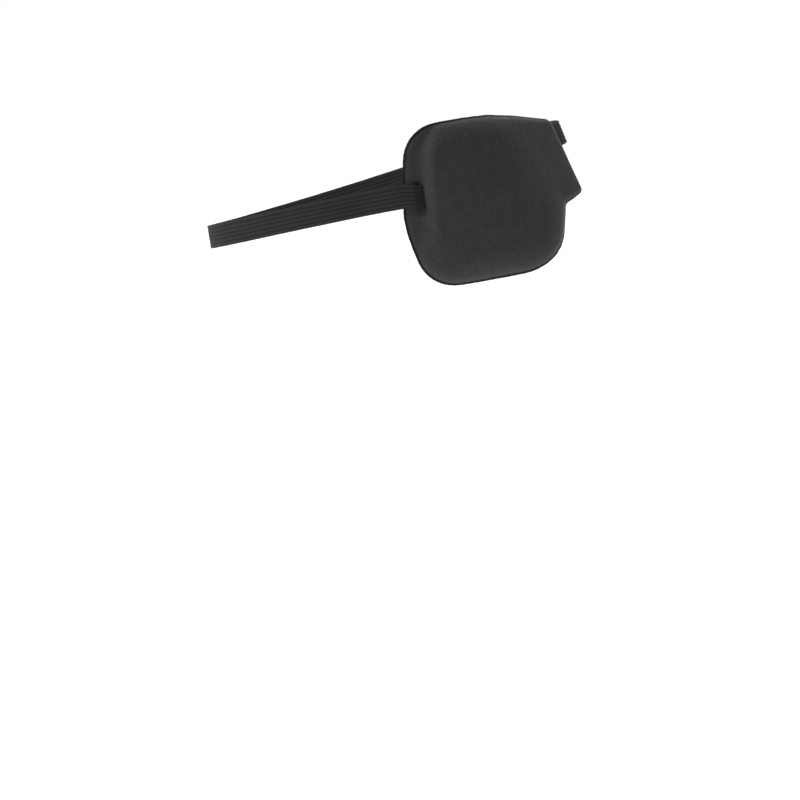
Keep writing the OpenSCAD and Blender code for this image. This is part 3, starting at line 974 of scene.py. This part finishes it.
def bar_tack(name, node, body, a, below, above, height, side, seed):
    """Dense bar tack: one thread that zigzags across the elastic, with a short loose end.

    It starts at distance a along the strap and reaches below and above its middle; height gives
    the surface it lies on, and side is 1 for the outer face and -1 for the inner one.
    """
    rng = np.random.default_rng(seed)
    spots = []
    for i in range(TACK_ROWS):
        s = a + TACK_L * i / (TACK_ROWS - 1) + rng.uniform(-STRAY_S, STRAY_S)
        w = mix(-below, above, i % 2) + rng.uniform(-STRAY_W, STRAY_W)
        spots.append((s, w))
    path = []
    for (s0, w0), (s1, w1) in zip(spots, spots[1:]):
        t = np.linspace(0, 1, STITCH_POINTS)[:-1]
        s, w = s0 + (s1 - s0) * t, w0 + (w1 - w0) * t
        dip = THREAD_DIP * (1 - smooth(np.minimum(t, 1 - t) * DIP_STEEPNESS))
        n = height(s, w) + side * (THREAD_R * THREAD_RIDE - dip)
        path += list(strap_point(s, n, w))
    s, w = spots[-1]
    t = np.linspace(0, 1, LOOSE_POINTS)
    loose_s, loose_w = s - LOOSE_DRIFT * t * t, w + np.sign(w) * LOOSE_L * t
    lift = THREAD_R * THREAD_RIDE + LOOSE_LIFT * np.sin(3 * t)
    path += list(strap_point(loose_s, height(loose_s, loose_w) + side * lift, loose_w))
    points, quads, uv, caps = tube(path)
    piece = make_piece(name, points, quads, uv, thread, caps)
    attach(piece, body)
    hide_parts(node)


def temple_seam_h(s, w):
    """The outer face of the strap, falling to the cover beyond its edges."""
    return mix(LAP_N + HALF_T, LAP_N - HALF_T - GAP, smooth((abs(w) - HALF_W + FALL_START) / FALL_W))


def inner_face_h(s, w):
    return 0 * s - HALF_T


def ring_seam_h(s, w):
    return 0 * s + LAYER + HALF_T


TACK_BACK = TACK_L + TACK_INSET
bar_tack(
    "temple_bar_tack", "temple_stitching", "patch", -TEMPLE_LAP + TACK_INSET,
    TEMPLE_BELOW, TEMPLE_ABOVE, temple_seam_h, side=1, seed=1,
)
bar_tack(
    "nose_bar_tack", "nose_stitching", "patch", loop_l + NOSE_LAP - TACK_BACK,
    TACK_REACH, TACK_REACH, inner_face_h, side=-1, seed=2,
)
bar_tack(
    "ring_bar_tack", "ring_loop_stitching", "strap_end", far_bar + RING_TAIL - TACK_BACK,
    TACK_REACH, TACK_REACH, ring_seam_h, side=1, seed=3,
)
bar_tack(
    "slider_bar_tack", "slider_loop_stitching", "slider", SLIDER_S + SLIDER_TAIL - TACK_BACK,
    TACK_REACH, TACK_REACH, inner_face_h, side=-1, seed=4,
)

# The slider and the ring are the CAD solids in a plastic material.
for name in ("slider", "ring"):
    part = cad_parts[name]
    part.data.materials.clear()
    part.data.materials.append(moulded_plastic)


# ---------------------------------------------------------------- floor, light and camera
# Places and sizes from here on are in metres, the lens and its sensor in millimetres.
FLOOR_Z = -0.34
FLOOR_HALF = 30


def plain_material(name, colour):
    m, shader = new_material(name, colour, 0.9, specular=0.1)
    n = Nodes(m, shader)
    tint = n.noise(n.coordinates("Object"), 3, 2.0)
    n.colour(n.ramp(tint, [(0.0, tuple(c * 0.99 for c in colour)), (1.0, colour)]))
    return m


def add_floor():
    corners = [(x * FLOOR_HALF, y * FLOOR_HALF, FLOOR_Z) for x, y in ((-1, -1), (1, -1), (1, 1), (-1, 1))]
    mesh = bpy.data.meshes.new("floor")
    mesh.from_pydata(corners, [], [(0, 1, 2, 3)])
    mesh.materials.append(plain_material("pale_floor", (0.93, 0.93, 0.93)))
    floor = bpy.data.objects.new("floor", mesh)
    bpy.context.scene.collection.objects.link(floor)


def look_from(place, target, up):
    """Rotation whose -Z axis points at the target."""
    back = (place - target).normalized()
    right = up.cross(back).normalized()
    return Matrix((right, back.cross(right), back)).transposed()


def add_softbox(name, place, size, power, target=(0, -0.06, 0), up=(0, 0, 1)):
    data = bpy.data.lights.new(name, "AREA")
    data.shape = "RECTANGLE"
    data.size = size[0]
    data.size_y = size[1]
    data.energy = power
    lamp = bpy.data.objects.new(name, data)
    turn = look_from(Vector(place), Vector(target), Vector(up))
    lamp.matrix_world = Matrix.Translation(place) @ turn.to_4x4()
    bpy.context.scene.collection.objects.link(lamp)


# Direction and brightness of the dim side of the room, and direction and strength of the ceiling
DIM_SIDE = 238
DIM_LEVEL = 0.43
CEILING_TILT = (0.48, 0.31, 0.82)
CEILING_LEVEL = 1.35


def add_glow(tree, direction, strength, stops):
    """Light from all round that changes with the angle from one direction; stops are (cosine, level)."""
    source = tree.nodes.new("ShaderNodeTexCoord")
    facing = tree.nodes.new("ShaderNodeVectorMath")
    facing.operation = "DOT_PRODUCT"
    facing.inputs[1].default_value = direction
    ramp = tree.nodes.new("ShaderNodeValToRGB")
    ramp.color_ramp.interpolation = "EASE"
    for element, (cosine, level) in zip(ramp.color_ramp.elements, stops):
        element.position = cosine
        element.color = (level, level, level, 1)
    background = tree.nodes.new("ShaderNodeBackground")
    background.inputs["Strength"].default_value = strength
    tree.links.new(source.outputs["Generated"], facing.inputs[0])
    tree.links.new(facing.outputs["Value"], ramp.inputs["Fac"])
    tree.links.new(ramp.outputs["Color"], background.inputs["Color"])
    return background.outputs["Background"]


def add_world():
    """White backdrop round the back, a dimmer room on the camera's side and a bright soft ceiling."""
    world = bpy.data.worlds.new("studio")
    world.use_nodes = True
    tree = world.node_tree
    tree.nodes.remove(tree.nodes["Background"])
    walls = add_glow(tree, (*polar(1, DIM_SIDE), 0), 1, [(0, 1), (0.75, DIM_LEVEL)])
    ceiling = add_glow(tree, CEILING_TILT, CEILING_LEVEL, [(0.66, 0), (0.88, 1)])
    both = tree.nodes.new("ShaderNodeAddShader")
    tree.links.new(walls, both.inputs[0])
    tree.links.new(ceiling, both.inputs[1])
    tree.links.new(both.outputs["Shader"], tree.nodes["World Output"].inputs["Surface"])
    bpy.context.scene.world = world


CAMERA_AZIMUTH = 65
CAMERA_HEIGHT_ANGLE = 1
CAMERA_ROLL = 9
CAMERA_DISTANCE = 1.6
FOCAL_LENGTH = 133.92
SENSOR_WIDTH = 36
VIEW_END = 100
AIM_RIGHT = 0.0102
AIM_DOWN = 0.1094


def add_camera():
    """Long lens from the wearer's right front, rolled because the head leans back."""
    angles = (CAMERA_AZIMUTH, CAMERA_HEIGHT_ANGLE, CAMERA_ROLL)
    azimuth, height, roll = (math.radians(a) for a in angles)
    level_part = math.cos(height)
    back = Vector((-math.sin(azimuth) * level_part, -math.cos(azimuth) * level_part, math.sin(height)))
    level = (-back).cross(Vector((0, 0, 1))).normalized()
    upright = back.cross(level)
    right = math.cos(roll) * level - math.sin(roll) * upright
    up = math.sin(roll) * level + math.cos(roll) * upright
    place = back * CAMERA_DISTANCE
    data = bpy.data.cameras.new("camera")
    data.lens = FOCAL_LENGTH
    data.sensor_width = SENSOR_WIDTH
    data.clip_end = VIEW_END
    camera = bpy.data.objects.new("camera", data)
    turn = look_from(place, right * AIM_RIGHT - up * AIM_DOWN, up)
    camera.matrix_world = Matrix.Translation(place) @ turn.to_4x4()
    bpy.context.scene.collection.objects.link(camera)
    bpy.context.scene.camera = camera


add_floor()
add_world()
add_softbox("low_light", (0.0, 0.0, -0.33), (0.45, 0.45), 0.5, (0.0, 0.0, 1), (1, 0, 0))
add_softbox("left_light", (-0.5, 1.15, 1.1), (0.9, 0.9), 16)
add_camera()
bpy.context.scene.view_settings.view_transform = "Standard"

bpy.context.view_layer.update()
